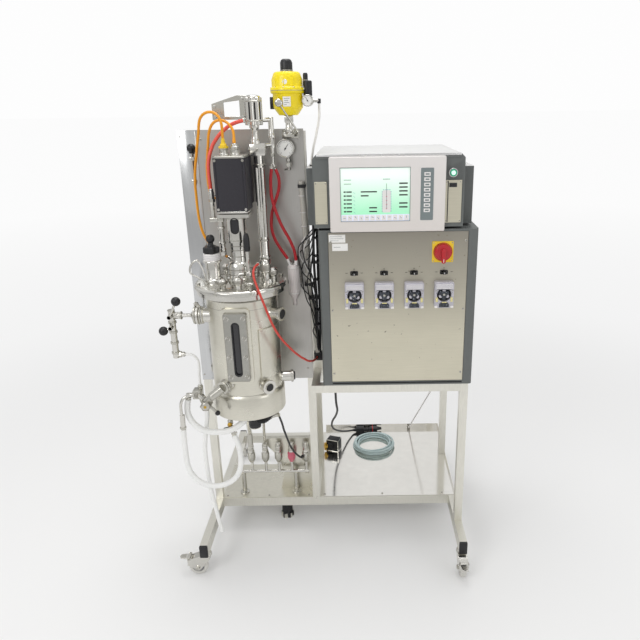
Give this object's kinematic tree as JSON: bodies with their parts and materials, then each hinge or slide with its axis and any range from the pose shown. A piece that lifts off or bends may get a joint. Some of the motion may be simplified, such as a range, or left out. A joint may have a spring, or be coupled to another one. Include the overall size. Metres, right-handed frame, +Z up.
{
  "type": "bench bioreactor",
  "caption": "Jacketed steel fermentation vessel with top drive, piping and hoses, beside a pump and display cabinet, on a wheeled tube frame.",
  "frame": {"origin": "on the floor, under the centre of the bounding box of everything but the free cords", "axes": "+X to the right as seen from the front, +Y to the back, +Z up"},
  "size_m": [1.134, 1.01, 1.894],
  "materials": {
    "polished_steel": "polished sheet steel",
    "steel": "brushed stainless steel",
    "satin_steel": "satin stainless sheet",
    "vessel_steel": "fine brushed stainless steel, warm reflections",
    "plate_steel": "vertically brushed front plate",
    "charcoal_paint": "charcoal powder coat",
    "white_housing": "off-white satin coat",
    "motor_black": "near-black satin coat",
    "display_white": "off-white moulding with a grey-green keypad",
    "screen_glass": "lit panel in pale greens",
    "dark_glass": "clear glass over a dark inside",
    "black_plastic": "black moulding",
    "knob_red": "glossy red",
    "button_green": "lit green",
    "actuator_yellow": "bright yellow moulding with a black cap",
    "wheel_grey": "pale grey tread",
    "white_silicone": "milky white silicone",
    "orange_jacket": "orange cable jacket",
    "coral_hose_rubber": "coral hose",
    "red_hose_rubber": "dark red hose",
    "black_cable": "black cable jacket",
    "teal_hose": "pale teal-grey hose"
  },
  "bodies": {
    "frame": {"trolley_frame": "steel", "base_tray": "polished_steel", "base_plate": "satin_steel", "back_panel": "satin_steel", "lower_cabinet_shell": "charcoal_paint", "cabinet_front_plate": "plate_steel", "upper_cabinet_shell": "charcoal_paint", "display_bezel": "display_white", "display_screen": "screen_glass", "vessel_jacket": "vessel_steel", "sight_glass_frame": "steel", "sight_glass": "dark_glass", "vessel_lid": "vessel_steel", "drive_column": "steel", "coupling_housing": "white_housing", "motor_body": "motor_black", "exhaust_line": "steel", "valve_actuator": "actuator_yellow", "inlet_pipe": "steel", "sampling_valve": "steel", "cable_loom": "black_cable", "tray_plug": "black_plastic", "hose_coil": "teal_hose", "white_hose_a": "white_silicone", "white_hose_b": "white_silicone", "white_hose_c": "white_silicone", "inlet_hose": "white_silicone", "air_line": "white_silicone", "orange_cable_1": "orange_jacket", "orange_cable_2": "orange_jacket", "coral_hose": "coral_hose_rubber", "thin_red_hose": "coral_hose_rubber", "red_hose_1": "red_hose_rubber", "red_hose_2": "red_hose_rubber", "black_lead": "black_cable", "tray_lead": "black_cable"},
    "main_switch_knob": {"main_switch_knob": "knob_red"},
    "power_button": {"power_button": "button_green"},
    "port_handwheel": {"port_handwheel": "black_plastic"},
    "agitator_shaft": {"agitator_shaft": "polished_steel"},
    "inlet_lever_upper": {"inlet_lever_upper": "black_plastic"},
    "inlet_lever_lower": {"inlet_lever_lower": "black_plastic"},
    "pump_rotor_1": {"pump_rotor_1": "black_plastic"},
    "pump_rotor_2": {"pump_rotor_2": "black_plastic"},
    "pump_rotor_3": {"pump_rotor_3": "black_plastic"},
    "pump_rotor_4": {"pump_rotor_4": "black_plastic"},
    "selector_switch_1": {"selector_switch_1": "black_plastic"},
    "selector_switch_2": {"selector_switch_2": "black_plastic"},
    "selector_switch_3": {"selector_switch_3": "black_plastic"},
    "selector_switch_4": {"selector_switch_4": "black_plastic"},
    "castor_fork_front_left": {"castor_fork_front_left": "steel"},
    "castor_fork_front_right": {"castor_fork_front_right": "steel"},
    "castor_fork_rear_left": {"castor_fork_rear_left": "steel"},
    "castor_fork_rear_right": {"castor_fork_rear_right": "steel"},
    "castor_wheel_front_left": {"castor_wheel_front_left": "wheel_grey"},
    "castor_wheel_front_right": {"castor_wheel_front_right": "wheel_grey"},
    "castor_wheel_rear_left": {"castor_wheel_rear_left": "wheel_grey"},
    "castor_wheel_rear_right": {"castor_wheel_rear_right": "wheel_grey"},
    "brake_pedal_front_left": {"brake_pedal_front_left": "steel"},
    "brake_pedal_front_right": {"brake_pedal_front_right": "steel"}
  },
  "joints": [
    {"name": "castor_swivel_front_left", "type": "hinge", "parent": "frame", "child": "castor_fork_front_left", "pos_m": [-0.462, -0.4, 0.099], "axis": [0, 0, 1], "continuous": true},
    {"name": "wheel_spin_front_left", "type": "hinge", "parent": "castor_fork_front_left", "child": "castor_wheel_front_left", "pos_m": [-0.496, -0.4, 0.0375], "axis": [0, 1, 0], "continuous": true},
    {"name": "castor_swivel_front_right", "type": "hinge", "parent": "frame", "child": "castor_fork_front_right", "pos_m": [0.541, -0.4, 0.099], "axis": [0, 0, 1], "continuous": true},
    {"name": "wheel_spin_front_right", "type": "hinge", "parent": "castor_fork_front_right", "child": "castor_wheel_front_right", "pos_m": [0.541, -0.434, 0.0375], "axis": [1, 0, 0], "continuous": true},
    {"name": "castor_swivel_rear_left", "type": "hinge", "parent": "frame", "child": "castor_fork_rear_left", "pos_m": [-0.462, 0.43, 0.099], "axis": [0, 0, 1], "continuous": true},
    {"name": "wheel_spin_rear_left", "type": "hinge", "parent": "castor_fork_rear_left", "child": "castor_wheel_rear_left", "pos_m": [-0.462, 0.464, 0.0375], "axis": [1, 0, 0], "continuous": true},
    {"name": "castor_swivel_rear_right", "type": "hinge", "parent": "frame", "child": "castor_fork_rear_right", "pos_m": [0.541, 0.43, 0.099], "axis": [0, 0, 1], "continuous": true},
    {"name": "wheel_spin_rear_right", "type": "hinge", "parent": "castor_fork_rear_right", "child": "castor_wheel_rear_right", "pos_m": [0.541, 0.464, 0.0375], "axis": [1, 0, 0], "continuous": true},
    {"name": "brake_pedal_front_left_tilt", "type": "hinge", "parent": "castor_fork_front_left", "child": "brake_pedal_front_left", "pos_m": [-0.529, -0.4, 0.078], "axis": [0, -1, 0], "range_deg": [0, 20]},
    {"name": "brake_pedal_front_right_tilt", "type": "hinge", "parent": "castor_fork_front_right", "child": "brake_pedal_front_right", "pos_m": [0.541, -0.467, 0.078], "axis": [1, 0, 0], "range_deg": [0, 20]},
    {"name": "main_switch_turn", "type": "hinge", "parent": "frame", "child": "main_switch_knob", "pos_m": [0.445, -0.305, 1.262], "axis": [0, 1, 0], "range_deg": [0, 90]},
    {"name": "pump_rotor_1_spin", "type": "hinge", "parent": "frame", "child": "pump_rotor_1", "pos_m": [0.1365, -0.305, 1.113], "axis": [0, 1, 0], "continuous": true},
    {"name": "selector_switch_1_tilt", "type": "hinge", "parent": "frame", "child": "selector_switch_1", "pos_m": [0.1365, -0.284, 1.189], "axis": [0, 0, 1], "range_deg": [-20, 20]},
    {"name": "pump_rotor_2_spin", "type": "hinge", "parent": "frame", "child": "pump_rotor_2", "pos_m": [0.2415, -0.305, 1.113], "axis": [0, 1, 0], "continuous": true},
    {"name": "selector_switch_2_tilt", "type": "hinge", "parent": "frame", "child": "selector_switch_2", "pos_m": [0.2415, -0.284, 1.189], "axis": [0, 0, 1], "range_deg": [-20, 20]},
    {"name": "pump_rotor_3_spin", "type": "hinge", "parent": "frame", "child": "pump_rotor_3", "pos_m": [0.3465, -0.305, 1.113], "axis": [0, 1, 0], "continuous": true},
    {"name": "selector_switch_3_tilt", "type": "hinge", "parent": "frame", "child": "selector_switch_3", "pos_m": [0.3465, -0.284, 1.189], "axis": [0, 0, 1], "range_deg": [-20, 20]},
    {"name": "pump_rotor_4_spin", "type": "hinge", "parent": "frame", "child": "pump_rotor_4", "pos_m": [0.4515, -0.305, 1.113], "axis": [0, 1, 0], "continuous": true},
    {"name": "selector_switch_4_tilt", "type": "hinge", "parent": "frame", "child": "selector_switch_4", "pos_m": [0.4515, -0.284, 1.189], "axis": [0, 0, 1], "range_deg": [-20, 20]},
    {"name": "power_button_press", "type": "slide", "parent": "frame", "child": "power_button", "axis": [0, 1, 0], "range_m": [0, 0.003], "stiffness_N_per_m": 200},
    {"name": "port_knob_turn", "type": "hinge", "parent": "frame", "child": "port_handwheel", "pos_m": [-0.349, -0.325, 1.28], "axis": [0, 0, 1], "continuous": true},
    {"name": "agitator_spin", "type": "hinge", "parent": "frame", "child": "agitator_shaft", "pos_m": [-0.259, -0.31, 1.3], "axis": [0, 0, 1], "continuous": true},
    {"name": "inlet_lever_upper_turn", "type": "hinge", "parent": "frame", "child": "inlet_lever_upper", "pos_m": [-0.501, -0.375, 1.066], "axis": [0, 1, 0], "range_deg": [-90, 0]},
    {"name": "inlet_lever_lower_turn", "type": "hinge", "parent": "frame", "child": "inlet_lever_lower", "pos_m": [-0.501, -0.375, 1.026], "axis": [0, 1, 0], "range_deg": [-90, 0]}
  ]
}
